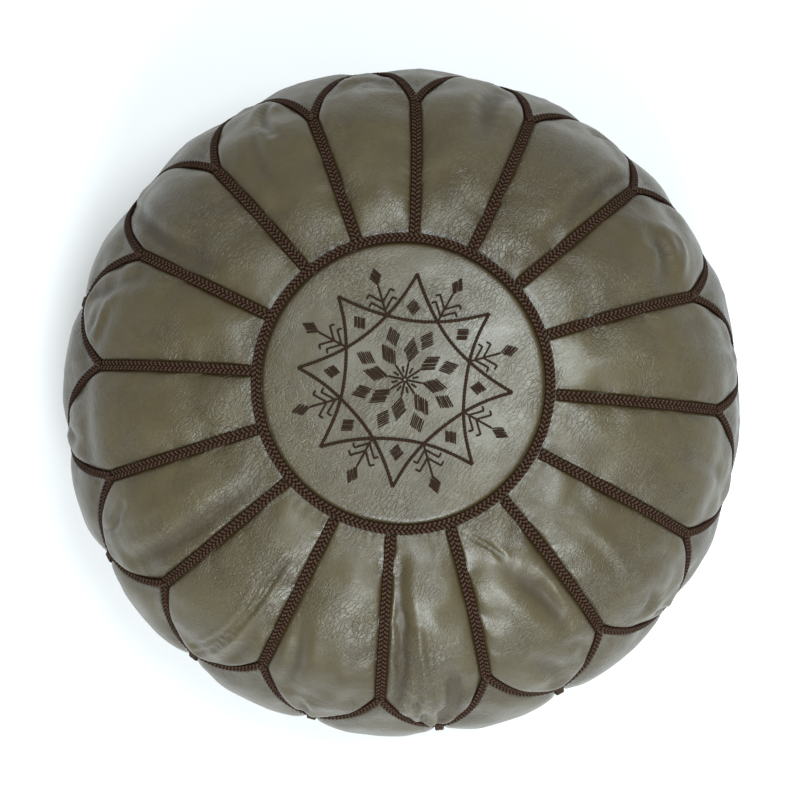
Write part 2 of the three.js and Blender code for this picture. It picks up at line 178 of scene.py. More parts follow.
class Strands:
    """Gathers many round or oval threads into one mesh."""

    def __init__(self, sides=TUBE_SIDES):
        self.sides = sides
        self.points, self.quads, self.caps, self.total = [], [], [], 0
        self.runs, self.turns, self.crests = [], [], []

    def add(self, centres, ups, width, height, closes=False, crest=None):
        """A thread along centres (n, 3), oval across: width in the surface, height along ups. crest is 1
        where it rides over its neighbours."""
        count = len(centres)
        tangents = tangents_of(centres, closes)
        side = unit(np.cross(ups, tangents))
        up = np.cross(tangents, side)
        size = np.ones(count)
        if not closes:
            size[[0, -1]] = THREAD_END
            start = np.arange(self.sides)
            self.caps.append(np.stack([start, start[::-1] + (count - 1) * self.sides]) + self.total)
        angle = np.arange(self.sides) * TAU / self.sides
        across = (np.cos(angle) * width / 2)[None, :, None] * side[:, None, :]
        above = (np.sin(angle) * height / 2)[None, :, None] * up[:, None, :]
        ring = centres[:, None, :] + size[:, None, None] * (across + above)
        self.points.append(ring.reshape(-1, 3))
        self.quads.append(grid_faces(count, self.sides, closes=True, loops=closes) + self.total)
        self.runs.append(np.repeat(along(centres), self.sides))
        self.turns.append(np.tile(angle, count))
        self.crests.append(np.repeat(np.zeros(count) if crest is None else crest, self.sides))
        self.total += count * self.sides

    def build(self, name, material):
        faces = [np.concatenate(self.quads)]
        if self.caps:
            faces.append(np.concatenate(self.caps))
        values = {"run": self.runs, "turn": self.turns, "crest": self.crests}
        values = {key: np.concatenate(numbers) for key, numbers in values.items()}
        return mesh_object(name, np.concatenate(self.points), faces, material, values)


# --- The cover's surface ---

def meridian(theta):
    """Radius, height and outward normal (radial, upward) of the smooth cover at theta."""
    power = 2 / ROUNDNESS
    side = np.where(theta <= math.pi / 2, 1.0, -1.0)
    half = np.where(side > 0, CROWN_HEIGHT, BELLY_DEPTH)
    across = np.maximum(np.sin(theta), 0) ** power
    down = np.abs(np.cos(theta)) ** power
    outward = across ** (ROUNDNESS - 1) / WAIST_RADIUS
    upward = side * down ** (ROUNDNESS - 1) / half
    length = np.hypot(outward, upward)
    return WAIST_RADIUS * across, WAIST_Z + side * half * down, outward / length, upward / length


def theta_at(radius, below=False):
    theta = np.arcsin((radius / WAIST_RADIUS) ** (ROUNDNESS / 2))
    return math.pi - theta if below else theta


def place(phi, theta, lift=0.0):
    """Points (..., 3) on the cover."""
    radius, height, outward, upward = meridian(theta)
    oval = 1 + (OVAL * np.cos(2 * phi) - OVAL_TRIM) * np.sin(theta) ** 2
    r = radius * oval + lift * outward
    return np.stack([r * np.cos(phi), r * np.sin(phi), height + lift * upward], axis=-1)


def normal_at(phi, theta):
    _, _, outward, upward = meridian(theta)
    return np.stack([outward * np.cos(phi), outward * np.sin(phi), upward + 0 * phi], axis=-1)


def noise_at(points, scale):
    return np.array([noise.noise(Vector(p) * scale) for p in points])


RING = float(theta_at(MEDALLION_SEAM_RADIUS))
BASE = float(theta_at(BASE_SEAM_RADIUS, below=True))

# Seams: how far each strays from even spacing. Sways are degrees round the axis, reaches are
# millimetres from the axis, and falls are degrees down the meridian.
FORK_SWAY = np.radians([1.0, 0, 0.7, 1.9, 2.1, 0.5, -0.2, -0.3, -0.2, -1.5, -1.4, -0.1, 0.2, -2.0, -1.0, 0.2])
FORK_REACH = np.array([9, 0.5, 5, 0, -7.5, -12, -10, -7, -0.5, -0.5, 2.5, 4.5, 6, -3.5, 4.5, 10]) * MM
TIP_SWAY = np.radians([0, 0, 0, 0, -0.6, -0.5, 0, -1.1, 0, -0.8, -0.8, -0.3, -0.5, -1.3, 0.2, 0])
TIP_FALL = np.radians([6, 4.5, 4, 3, -1.5, 1, 3, -6, 3, -5, -4.5, -2.5, -3.5, -5.5, 2.5, 5])
RING_SWAY = np.radians([0, 0.4, 0, -0.3, 0.2, 0, -0.4, 0.3, 0, -0.3, 0, 0.3, -0.2, 0, 0.3, -0.3])
FORK = theta_at(FORK_RADIUS + FORK_REACH)
TIP = theta_at(TIP_RADIUS) + TIP_FALL


def scallop(u):
    """(phi, theta) of the scalloped seam at an even angle: forks at the radial seams, tips between them."""
    nearest = np.floor(u / PANEL_ANGLE + 0.5)
    off = (u / PANEL_ANGLE - nearest) * 2
    fork = nearest.astype(int) % PANELS
    tip = np.where(off >= 0, fork, fork - 1) % PANELS
    share = np.abs(off)
    even_fork = nearest * PANEL_ANGLE
    even_tip = even_fork + np.sign(off) * PANEL_ANGLE / 2
    fork_phi = even_fork + FORK_SWAY[fork]
    tip_phi = np.where(off == 0, fork_phi, even_tip + TIP_SWAY[tip])
    theta = TIP[tip] + (FORK[fork] - TIP[tip]) * (1 - share) ** SCALLOP
    return fork_phi + share * (tip_phi - fork_phi), theta


def petal_place(u, down):
    """(phi, theta) on the petals: down is 0 at the medallion and 1 at the scalloped seam."""
    swing = np.interp(u, np.arange(PANELS + 1) * PANEL_ANGLE, np.append(RING_SWAY, RING_SWAY[0]))
    seam_phi, seam_theta = scallop(u)
    return (u + swing) * (1 - down) + seam_phi * down, RING + (seam_theta - RING) * down


def side_place(u, down):
    """(phi, theta) on the side panels: down is 0 at the scalloped seam and 1 at the base seam."""
    seam_phi, seam_theta = scallop(u)
    ease = down * down * (3 - 2 * down)
    return seam_phi + (u - seam_phi) * ease, seam_theta + (BASE - seam_theta) * down


# --- Materials ---

class Nodes:
    """Short calls for a material's node tree."""

    def __init__(self, name):
        self.material = bpy.data.materials.new(name)
        self.material.use_nodes = True
        self.tree = self.material.node_tree
        self.shader = self.tree.nodes["Principled BSDF"]
        self.position = self.tree.nodes.new("ShaderNodeTexCoord").outputs["Object"]

    def node(self, kind, inputs=(), **settings):
        made = self.tree.nodes.new(kind)
        for key, value in settings.items():
            setattr(made, key, value)
        self.plug(made, dict(inputs))
        return made

    def plug(self, node, inputs):
        """Links a socket to each input, or sets the input's own value."""
        for key, value in inputs.items():
            if isinstance(value, bpy.types.NodeSocket):
                self.tree.links.new(value, node.inputs[key])
            else:
                node.inputs[key].default_value = value

    def noise(self, scale, detail=3.0, roughness=0.55, vector=None, distortion=0.0):
        inputs = {"Scale": scale, "Detail": detail, "Roughness": roughness, "Distortion": distortion}
        inputs["Vector"] = self.position if vector is None else vector
        return self.node("ShaderNodeTexNoise", inputs).outputs["Fac"]

    def cells(self, scale, vector):
        """Distance from the edge of a Voronoi cell."""
        inputs = {"Scale": scale, "Vector": vector}
        return self.node("ShaderNodeTexVoronoi", inputs, feature="DISTANCE_TO_EDGE").outputs["Distance"]

    def plan(self):
        """X and Y of the position."""
        return self.node("ShaderNodeSeparateXYZ", {"Vector": self.position}).outputs[:2]

    def value(self, name):
        return self.node("ShaderNodeAttribute", attribute_name=name).outputs["Fac"]

    def math(self, operation, *operands):
        return self.node("ShaderNodeMath", dict(enumerate(operands)), operation=operation).outputs[0]

    def times(self, first, second):
        return self.math("MULTIPLY", first, second)

    def span(self, value, low, high, to_low=0.0, to_high=1.0):
        inputs = {"Value": value, "From Min": low, "From Max": high, "To Min": to_low, "To Max": to_high}
        return self.node("ShaderNodeMapRange", inputs).outputs["Result"]

    def mix(self, share, first, second):
        return self.node("ShaderNodeMix", {0: share, 6: first, 7: second}, data_type="RGBA").outputs[2]

    def bump(self, height, distance, strength, below=None):
        inputs = {"Height": height, "Distance": distance, "Strength": strength}
        if below is not None:
            inputs["Normal"] = below
        return self.node("ShaderNodeBump", inputs).outputs["Normal"]

    def finished(self, **inputs):
        """The material, with its shader's inputs set."""
        self.plug(self.shader, {key.replace("_", " "): value for key, value in inputs.items()})
        return self.material


def srgb(red, green, blue):
    """A colour given as sRGB 0 to 255."""
    def linear(value):
        value /= 255
        return value / 12.92 if value <= 0.04045 else ((value + 0.055) / 1.055) ** 2.4
    return (linear(red), linear(green), linear(blue), 1.0)


def shaded(colour, tint):
    return tuple(c * tint for c in colour[:3]) + (1.0,)


LEATHER_BASE = srgb(64, 55, 30)
LEATHER_PALE = srgb(77, 68, 40)
# The deep colour serves the stains and the crackle, and the painted shade beside the cords and in the folds
LEATHER_DEEP = srgb(47, 34, 15)


def leather_material(name, tint=1.0, coat=0.14, gloss=0.6, satin=0.36):
    """Satin goat leather: mottled, crackled in patches, polished near the seams and dull in the folds."""
    n = Nodes(name)
    base, pale, deep = (shaded(colour, tint) for colour in (LEATHER_BASE, LEATHER_PALE, LEATHER_DEEP))
    # Clouds and stains, then painted shade beside the cords and in the folds
    cloud = n.span(n.noise(9.0, 4.0, 0.6), 0.3, 0.7)
    colour = n.mix(cloud, base, pale)
    stain = n.span(n.noise(26.0, 5.0, 0.65, distortion=0.6), 0.48, 0.78, 0.0, 0.6)
    colour = n.mix(stain, colour, deep)
    # Painted shade: darker within 12 mm of a seam, where the cords shade the leather
    seam_shade = n.span(n.value("seam"), 3 * MM, 12 * MM, 0.55, 0.0)
    colour = n.mix(seam_shade, colour, deep)
    # Painted shade in the pressed creases, darker where they are deeper
    colour = n.mix(n.span(n.value("fold"), 0.1, 1.0, 0.0, 0.6), colour, deep)
    # Cells of the crackle and the grain, on a wandering position
    wander = n.node("ShaderNodeTexNoise", {"Scale": 45.0, "Detail": 3.0, "Vector": n.position})
    shift = {0: wander.outputs["Color"], 1: (0.012, 0.012, 0.012)}
    shifted = n.node("ShaderNodeVectorMath", shift, operation="MULTIPLY").outputs[0]
    bent = n.node("ShaderNodeVectorMath", {0: n.position, 1: shifted}, operation="ADD").outputs[0]
    crackle = n.span(n.cells(210.0, bent), 0.0, 0.12)
    grain = n.span(n.cells(620.0, bent), 0.0, 0.3)
    # Smooth and crackled patches, stretch marks, fold lines, and a slanted net where the hide was drawn
    patches = n.span(n.noise(13.0, 3.0, 0.6), 0.4, 0.62, 0.12, 1.0)
    stretch = n.noise(240.0, 5.0, 0.66, distortion=0.3)
    fold_line = n.math("ABSOLUTE", n.math("SUBTRACT", n.noise(48.0, 6.0, 0.62, distortion=1.0), 0.5))
    slanted = {"Vector": bent, "Rotation": (0, 0, math.radians(52)), "Scale": (0.0075, 0.0029, 0.005)}
    drawn = n.node("ShaderNodeMapping", slanted, vector_type="TEXTURE").outputs["Vector"]
    draw_line = n.span(n.cells(1.0, drawn), 0.0, 0.1)
    relief = [(n.span(fold_line, 0.0, 0.06), 0.35, 0.5), (stretch, 0.6, 0.6)]
    relief += [(draw_line, 0.36, 0.8), (crackle, 0.16, 0.6)]
    normal = None
    for height, depth, strength in relief:
        normal = n.bump(n.times(height, patches), depth * MM, strength, normal)
    normal = n.bump(grain, 0.07 * MM, 0.7, normal)
    lines = n.times(n.span(draw_line, 0.0, 1.0, 0.45, 0.0), patches)
    colour = n.mix(lines, colour, deep)
    colour = n.mix(n.span(crackle, 0.0, 1.0, 0.22, 0.0), colour, deep)
    # Gloss
    polish = n.span(n.value("seam"), 5 * MM, 11 * MM, 0.8, 1.0)
    rough = n.times(n.span(n.noise(38.0, 4.0, 0.6), 0.3, 0.7, 0.35, 0.5), polish)
    rough = n.math("ADD", rough, n.span(n.value("fold"), 0.2, 1.0, 0.0, 0.25))
    return n.finished(Base_Color=colour, Roughness=rough, Normal=normal,
                      Coat_Weight=coat, Coat_Roughness=satin, Specular_IOR_Level=gloss)


def thread_material(name, dark, light, pitch, glint=0.0):
    """Dull twisted cotton: slanted plies along each strand, painted highlights where it rides on top."""
    n = Nodes(name)
    turn = n.math("DIVIDE", n.value("turn"), TAU)
    slant = n.math("ADD", n.math("DIVIDE", n.value("run"), pitch), turn)
    ply = n.math("PINGPONG", slant, 0.5)
    crest = n.span(ply, 0.05, 0.42)
    fibre = n.noise(1400.0, 3.0, 0.7)
    shade = n.times(crest, n.span(fibre, 0.35, 0.75, 0.35, 1.0))
    fade = n.span(n.noise(30.0, 3.0), 0.35, 0.7, 0.0, 0.35)
    colour = n.mix(shade, dark, light)
    colour = n.mix(fade, colour, dark)
    if glint:
        # Painted highlight: paler on top of each strand where it rides over its neighbours
        high = n.span(n.value("crest"), 0.6, 1.0)
        top = n.span(n.math("SINE", n.value("turn")), 0.45, 0.95)
        patchy = n.span(n.noise(260.0, 2.0), 0.3, 0.6, 0.45, 1.0)
        painted_glint = n.times(n.times(high, top), n.times(patchy, glint))
        colour = n.mix(painted_glint, colour, srgb(90, 78, 62))
    normal = n.bump(crest, 0.18 * MM, 0.8)
    normal = n.bump(fibre, 0.06 * MM, 0.6, normal)
    return n.finished(Base_Color=colour, Normal=normal, Roughness=0.8, Specular_IOR_Level=0.08)


leather = leather_material("petal_leather")
side_leather = leather_material("side_leather", 0.9)
medallion_leather = leather_material("medallion_leather", 0.97, 0.2, 0.7, 0.32)
cord = thread_material("cord", srgb(36, 18, 11), srgb(48, 30, 21), 1.5 * MM, glint=0.8)
silk = thread_material("thread", srgb(40, 26, 17), srgb(60, 46, 34), 0.9 * MM)


# --- Cover: pressure from the stuffing puffs the leather between its sewn seams ---

SIM_FRAMES = 24
CLOTH_SETTINGS = {
    "quality": 5, "mass": 0.4, "tension_stiffness": 40, "compression_stiffness": 30, "shear_stiffness": 15,
    "bending_stiffness": 1.0, "air_damping": 5, "shrink_min": -0.04, "use_pressure": True,
    "uniform_pressure_force": 30.0, "vertex_group_mass": "sewn", "pin_stiffness": 1.0,
}
CORD_BED = 4.2 * MM
BED_DEPTH = 0.2 * MM
SHOULDER = 1.9


def cover_sheet():
    """(phi, theta) grids of the cover from the medallion seam down to the base seam, all the way round."""
    u = np.arange(PANELS * PANEL_COLUMNS) * PANEL_ANGLE / PANEL_COLUMNS
    rows = [petal_place(u, row / PETAL_ROWS) for row in range(PETAL_ROWS + 1)]
    rows += [side_place(u, row / SIDE_ROWS) for row in range(1, SIDE_ROWS + 1)]
    return [np.array(grid) for grid in zip(*rows)]


def sewn_points(rows, columns):
    """Which points of the cover's grid lie on a seam."""
    sewn = np.zeros((rows, columns), dtype=bool)
    sewn[[0, PETAL_ROWS, rows - 1], :] = True
    sewn[:PETAL_ROWS, ::PANEL_COLUMNS] = True
    sewn[PETAL_ROWS:, PANEL_COLUMNS // 2::PANEL_COLUMNS] = True
    return sewn


def puffed(rest, normals, sewn):
    """Runs Blender's cloth on the cover with its seams held and gives the points after it has settled."""
    rows, columns, _ = rest.shape
    rise = noise_at(rest.reshape(-1, 3), 30).reshape(rows, columns)
    start = rest + normals * np.where(sewn, 0, 1.5 * MM + rise * MM)[..., None]
    sheet = mesh_object("cover_sheet", start, [grid_faces(rows, columns, closes=True)], leather)
    pins = sheet.vertex_groups.new(name="sewn")
    pins.add(np.flatnonzero(sewn).tolist(), 1.0, "REPLACE")
    cloth = sheet.modifiers.new("puff", "CLOTH")
    for key, value in CLOTH_SETTINGS.items():
        setattr(cloth.settings, key, value)
    cloth.settings.effector_weights.gravity = 0
    cloth.collision_settings.use_collision = False
    cloth.point_cache.frame_start = 1
    cloth.point_cache.frame_end = SIM_FRAMES
    scene = bpy.context.scene
    for number in range(1, SIM_FRAMES + 1):
        scene.frame_set(number)
    settled = sheet.evaluated_get(bpy.context.evaluated_depsgraph_get()).to_mesh()
    points = np.empty(rows * columns * 3, dtype=np.float32)
    settled.vertices.foreach_get("co", points)
    bpy.data.objects.remove(sheet, do_unlink=True)
    scene.frame_set(1)
    return points.reshape(rows, columns, 3).astype(float)


cover_phi, cover_theta = cover_sheet()
cover_rest = place(cover_phi, cover_theta)
cover_normal = normal_at(cover_phi, cover_theta)
cover_sewn = sewn_points(*cover_phi.shape)
cover_points = puffed(cover_rest, cover_normal, cover_sewn)


# --- Seams as lines on the cover ---

SEAM_STEP = BRAID_PITCH / BRAID_STEPS
SEAM_SAMPLES = 200
RING_SAMPLES = 720


def seam_line(phi, theta, closes=False, window=1):
    """Evenly spaced points and normals along a seam, with its corners eased over window points."""
    raw = place(phi, theta)
    both = np.hstack([raw, normal_at(phi, theta)])
    both = resampled(both, SEAM_STEP, along(raw))
    points, normals = both[:, :3], both[:, 3:]
    if closes:
        points, normals = points[:-1], normals[:-1]
    if window > 1:
        points, normals = rounded(points, window, closes), rounded(normals, window, closes)
    return points, unit(normals)


def down_seam(place_of, number, start=0.0, end=1.0):
    """A seam down between two panels: number counts even panel angles, start and end are from 0 to 1."""
    down = np.linspace(start, end, SEAM_SAMPLES)
    phi, theta = place_of(np.full(SEAM_SAMPLES, number * PANEL_ANGLE), down)
    return seam_line(phi, theta)


def scallop_seam():
    u = np.linspace(0, TAU, PANELS * 40 + 1)
    phi, theta = scallop(u)
    return seam_line(phi, theta, closes=True, window=9)


def ring_seam(theta):
    phi = np.linspace(0, TAU, RING_SAMPLES)
    return seam_line(phi, np.full(RING_SAMPLES, theta), closes=True)


all_seams = [ring_seam(RING), scallop_seam(), ring_seam(BASE)]
all_seams += [down_seam(petal_place, number) for number in range(PANELS)]
all_seams += [down_seam(side_place, number + 0.5) for number in range(PANELS)]
seam_points = np.concatenate([points for points, _ in all_seams])
seam_runs = np.concatenate([along(points) + 0.37 * i for i, (points, _) in enumerate(all_seams)])
seam_tree = kdtree.KDTree(len(seam_points))
for index, point in enumerate(seam_points):
    seam_tree.insert(Vector(point), index)
seam_tree.balance()


def nearest_seam(points):
    """Distance to the nearest seam, and how far along it that is."""
    found = [seam_tree.find(Vector(p)) for p in points]
    reach = np.array([distance for _, _, distance in found])
    return reach, seam_runs[[index for _, index, _ in found]]


# --- Leather panels ---

REFINE = 2
PUCKER_WAVE = 7.5 * MM
PUCKER_HEIGHT = 0.28 * MM
SWELL = 0.9 * MM
EDGE_TURN = 3.0 * MM
SOFTENING = 2
OVERHANG_LIFT = 3.0 * MM
OVERHANG_COVER = 0.85
SWELL_FADE = 18 * MM
PUCKER_FADE = 9 * MM
FOLD_FADE = 6 * MM
OVERHANG_FADE = 5 * MM
SETTLING = 3
LOWEST_LIFT = 0.2 * MM

# Creases pressed into the petals: petal number, then across (-1 to 1) and down (0 to 1) at each end, then
# depth and width in mm. A negative depth raises a ridge.
CREASES = [
    (12, -0.7, 0.12, -0.74, 0.96, 5.6, 5.5),
    (12, -0.25, 0.35, -0.42, 1.0, -3.4, 3.2),
    (12, 0.3, 0.58, 0.08, 0.93, 6.5, 7.0),
    (12, 0.05, 0.8, -0.12, 1.0, 5.5, 3.2),
    (12, -0.45, 0.72, -0.3, 1.0, 2.6, 3.0),
    (13, 0.0, 0.2, 0.52, 0.6, 5.4, 8.0),
    (13, 0.66, 0.2, 0.62, 0.62, -2.0, 5.0),
    (13, -0.65, 0.06, 0.05, 0.17, 2.6, 2.2),
    (13, -0.2, 0.66, -0.02, 0.88, 3.2, 7.0),
    (13, 0.4, 0.7, 0.52, 0.92, 2.4, 5.0),
    (14, 0.1, 0.2, -0.3, 0.6, -2.2, 5.5),
    (14, -0.1, 0.66, -0.35, 0.8, 3.0, 6.5),
    (14, -0.22, 0.9, -0.18, 1.0, 3.0, 2.2),
    (14, 0.3, 0.55, 0.45, 0.9, 1.8, 6.0),
    (15, 0.3, 0.45, -0.2, 0.9, 1.6, 7.0),
    (11, -0.65, 0.45, -0.55, 0.85, 3.0, 6.0),
    (11, -0.25, 0.85, -0.2, 1.0, 3.2, 4.0),
    (11, 0.35, 0.55, 0.1, 0.85, -1.6, 7.0),
    (10, 0.42, 0.22, 0.05, 0.92, 3.0, 2.4),
    (10, 0.28, 0.35, -0.08, 0.9, 2.8, 2.2),
    (10, 0.55, 0.6, 0.38, 0.95, 3.0, 6.0),
    (9, 0.4, 0.08, 0.35, 0.82, 5.4, 8.0),
    (9, -0.35, 0.2, -0.3, 0.7, -1.6, 6.0),
    (9, -0.5, 0.72, -0.3, 0.92, 2.0, 3.0),
    (8, 0.1, 0.8, -0.3, 0.97, 2.4, 5.0),
    (7, 0.57, 0.9, -0.05, 0.68, -2.4, 4.5),
    (7, -0.05, 0.95, -0.6, 0.66, 2.6, 6.5),
    (6, 0.58, 0.28, 0.28, 0.95, 5.0, 7.5),
    (5, -0.15, 0.52, -0.42, 0.9, 3.4, 3.8),
    (5, 0.3, 0.3, 0.05, 0.62, 2.2, 6.0),
    (4, 0.6, 0.85, -0.5, 0.8, 2.8, 5.0),
    (3, -0.15, 0.4, -0.35, 0.85, 5.0, 10.0),
    (2, -0.55, 0.2, -0.72, 0.85, 4.6, 6.5),
    (2, 0.2, 0.8, -0.35, 0.92, 2.8, 3.6),
    (1, 0.15, 0.5, -0.6, 0.55, 4.0, 7.0),
    (1, 0.2, 0.62, -0.6, 0.68, -2.0, 4.0),
    (0, 0.2, 0.55, -0.15, 0.95, 1.6, 6.5),
]
FOLD_DEPTH = 4 * MM


def doubled(grid, axis):
    """A grid with a point added half way between neighbours, on a smooth curve through them."""
    line = np.moveaxis(grid, axis, 0)
    before = np.concatenate([2 * line[:1] - line[1:2], line[:-2]])
    after = np.concatenate([line[2:], 2 * line[-1:] - line[-2:-1]])
    middle = (9 * line[:-1] + 9 * line[1:] - before - after) / 16
    fine = np.empty((2 * len(line) - 1,) + line.shape[1:])
    fine[0::2], fine[1::2] = line, middle
    return np.moveaxis(fine, 0, axis)


def pressed_creases(points, number):
    """How far the creases of a petal push each point of its grid inwards."""
    rows, columns, _ = points.shape
    depth = np.zeros((rows, columns))
    for petal, across_0, down_0, across_1, down_1, deep, wide in CREASES:
        if petal != number:
            continue
        share = np.linspace(0, 1, 40)
        bend = 0.12 * np.sin(share * math.pi)
        column = (0.5 + (across_0 + (across_1 - across_0) * share + bend) / 2) * (columns - 1)
        row = (down_0 + (down_1 - down_0) * share) * (rows - 1)
        line = points[row.round().astype(int), column.round().astype(int).clip(0, columns - 1)]
        gaps = np.linalg.norm(points[:, :, None, :] - line[None, None], axis=-1)
        nearest = gaps.argmin(axis=-1)
        fade = np.sin(math.pi * (0.08 + 0.84 * share[nearest])) ** 0.7
        offset = gaps.min(axis=-1) / (wide * MM)
        depth += deep * MM * fade * (np.exp(-offset ** 2) - 0.35 * np.exp(-(offset - 1.9) ** 2))
    return depth


def overhang(shape):
    """1 at the middle of a petal's outer end, where the stuffing pushes the leather over the cord."""
    down = np.linspace(0, 1, shape[0])[:, None]
    across = np.linspace(-1, 1, shape[1])[None, :]
    return np.clip((down - 0.8) / 0.15, 0, 1) * np.clip(1.25 - np.abs(across) * 1.6, 0, 1)


def softened(grid, passes):
    """A grid with each point moved towards the mean of its neighbours, its border kept."""
    for _ in range(passes):
        inner = grid[1:-1, 1:-1]
        around = grid[:-2, 1:-1] + grid[2:, 1:-1] + grid[1:-1, :-2] + grid[1:-1, 2:]
        grid = grid.copy()
        grid[1:-1, 1:-1] = 0.4 * inner + 0.15 * around
    return grid


def clear_of_seam(reach, fade):
    """0 on a seam, rising towards 1 away from it."""
    return 1 - np.exp(-reach / fade)


def leather_panel(name, rows, columns, material, petal=None):
    """One panel: its part of the settled cover, refined, wrinkled and bedded against the cords."""
    columns = columns % cover_phi.shape[1]
    points, rest, normals = (grid[rows][:, columns] for grid in (cover_points, cover_rest, cover_normal))
    points = rest + softened(points - rest, SETTLING)
    for _ in range(REFINE):
        points, rest, normals = (doubled(doubled(grid, 0), 1) for grid in (points, rest, normals))
    normals = unit(normals)
    shape = points.shape[:2]
    flat = rest.reshape(-1, 3)
    reach, run = (values.reshape(shape) for values in nearest_seam(flat))
    lift = ((points - rest) * normals).sum(axis=-1)
    slide = points - rest - lift[..., None] * normals
    waver = noise_at(flat, 55).reshape(shape)
    pucker = np.sin(TAU * run / PUCKER_WAVE + 5 * waver)
    pucker = pucker * np.exp(-np.maximum(reach - CORD_BED, 0) / PUCKER_FADE)
    swell = (noise_at(flat, 17) + 0.45 * noise_at(flat + 7, 48)).reshape(shape)
    lift = lift + swell * SWELL * clear_of_seam(reach, SWELL_FADE) + PUCKER_HEIGHT * pucker * (0.6 + waver)
    if petal is None:
        fold, over = np.zeros(shape), np.zeros(shape)
    else:
        fold = pressed_creases(rest, petal) * clear_of_seam(reach, FOLD_FADE)
        over = overhang(shape)
    lift = lift - fold
    bed = CORD_BED * (1 - OVERHANG_COVER * over)
    room = BED_DEPTH + SHOULDER * (1 + over) * np.maximum(reach - bed, 0)
    lift = lift + OVERHANG_LIFT * over * clear_of_seam(reach, OVERHANG_FADE)
    lift = np.maximum(lift, LOWEST_LIFT)
    lift = softened(room * np.tanh(lift / room), SOFTENING)
    points = rest + slide + lift[..., None] * normals
    return edged_sheet(name, points, normals, {"seam": reach, "fold": fold / FOLD_DEPTH}, material)


def edged_sheet(name, points, normals, values, material):
    """A sheet of leather whose border is turned inwards. values are grids of per-point named numbers."""
    rows, columns = points.shape[:2]
    index = np.arange(rows * columns).reshape(rows, columns)
    border = np.concatenate([index[0, :-1], index[:-1, -1], index[-1, :0:-1], index[:0:-1, 0]])
    flat, up = points.reshape(-1, 3), normals.reshape(-1, 3)
    turned = flat[border] - EDGE_TURN * up[border]
    count = len(border)
    edge = np.arange(count) + rows * columns
    after = np.roll(np.arange(count), -1)
    skirt = np.stack([border, border[after], edge[after], edge], axis=1)
    faces = grid_faces(rows, columns)
    values = {key: np.concatenate([grid.ravel(), np.zeros(count)]) for key, grid in values.items()}
    return mesh_object(name, np.concatenate([flat, turned]), [faces, skirt], material, values)


def sew_panels(kind, node, material, rows, back, folded):
    """All petals or all side panels. back is how many columns before its even place each one begins."""
    for number in range(PANELS):
        columns = np.arange(PANEL_COLUMNS + 1) + number * PANEL_COLUMNS - back
        petal = number if folded else None
        piece = leather_panel(f"{kind}_{number + 1:02d}", rows, columns, material, petal)
        assign(piece, f"{node}_{number + 1:02d}")


sew_panels("petal", "top_petal", leather, slice(PETAL_ROWS + 1), 0, folded=True)
sew_panels("side", "side_panel", side_leather, slice(PETAL_ROWS, None), PANEL_COLUMNS // 2, folded=False)


# --- Medallion ---

MEDALLION_PUFF = 3.2 * MM
MEDALLION_ROWS = 72
MEDALLION_COLUMNS = 256
MEDALLION_SWELL = 1.0 * MM


def medallion_lift(x, y):
    """How far the medallion stands above the smooth cover at a place on the plan."""
    reach = MEDALLION_SEAM_RADIUS - np.hypot(x, y)
    room = BED_DEPTH + SHOULDER * np.maximum(reach - CORD_BED, 0)
    flat = np.stack([x, y, 0 * x], axis=-1)
    swell = noise_at(flat, 22) + 0.3 * noise_at(flat + 3, 70)
    return room * np.tanh((MEDALLION_PUFF + MEDALLION_SWELL * swell) / room)


def on_medallion(x, y, lift=0.0):
    """Points (n, 3) on the medallion's leather, raised by lift."""
    return place(np.arctan2(y, x), theta_at(np.hypot(x, y)), medallion_lift(x, y) + lift)


def medallion():
    share = np.linspace(0.004, 1, MEDALLION_ROWS) ** 0.8
    phi = np.arange(MEDALLION_COLUMNS) * TAU / MEDALLION_COLUMNS
    radius = np.repeat(share * MEDALLION_SEAM_RADIUS, MEDALLION_COLUMNS)
    angle = np.tile(phi, MEDALLION_ROWS)
    points = on_medallion(radius * np.cos(angle), radius * np.sin(angle))
    rim = points[-MEDALLION_COLUMNS:] - [0, 0, EDGE_TURN]
    faces = grid_faces(MEDALLION_ROWS + 1, MEDALLION_COLUMNS, closes=True)
    reach = np.concatenate([MEDALLION_SEAM_RADIUS - radius, np.zeros(MEDALLION_COLUMNS)])
    crown = np.arange(MEDALLION_COLUMNS)[None, :]
    points = np.concatenate([points, rim])
    return mesh_object("medallion", points, [faces, crown], medallion_leather, {"seam": reach})


piece = medallion()
assign(piece, "top_medallion")


# --- Plaited cords ---

def plait(threads, points, normals, closes=False, width=BRAID_WIDTH):
    """A flat plait along a seam: each strand swings from edge to edge, over one and under the next."""
    centres = points + normals * BRAID_LIFT
    turns = along(centres)[-1] / BRAID_PITCH
    if closes:
        turns = round(turns)
    share = np.arange(len(centres)) / (len(centres) if closes else len(centres) - 1)
    side = unit(np.cross(normals, tangents_of(centres, closes)))
    for strand in range(STRANDS):
        phase = TAU * (share * turns + strand / STRANDS)
        swing = (width - STRAND_WIDTH) / 2 * np.sin(phase)
        over = np.sin((STRANDS - 1) * phase)
        line = centres + side * swing[:, None] + normals * (BRAID_WEAVE * over)[:, None]
        threads.add(line, normals, STRAND_WIDTH, STRAND_HEIGHT, closes, crest=over)


def braid_piece(name, node, seam, closes=False, width=BRAID_WIDTH):
    threads = Strands()
    plait(threads, *seam, closes, width)
    assign(threads.build(name, cord), node)


braid_piece("ring_plait", "medallion_braid", ring_seam(RING), closes=True)
braid_piece("base_plait", "base_braid", ring_seam(BASE), closes=True)
braid_piece("rim_plait", "rim_braid", scallop_seam(), closes=True, width=RIM_BRAID_WIDTH)
for number in range(PANELS):
    seam = down_seam(petal_place, number, 0.025, 0.99)
    braid_piece(f"radial_plait_{number + 1:02d}", f"radial_braid_{number + 1:02d}", seam)
side_threads = Strands()
for number in range(PANELS):
    points, normals = down_seam(side_place, number + 0.5, 0.0, 0.985)
    plait(side_threads, points, normals, width=RIM_BRAID_WIDTH)
assign(side_threads.build("side_plaits", cord))


# --- Embroidery ---

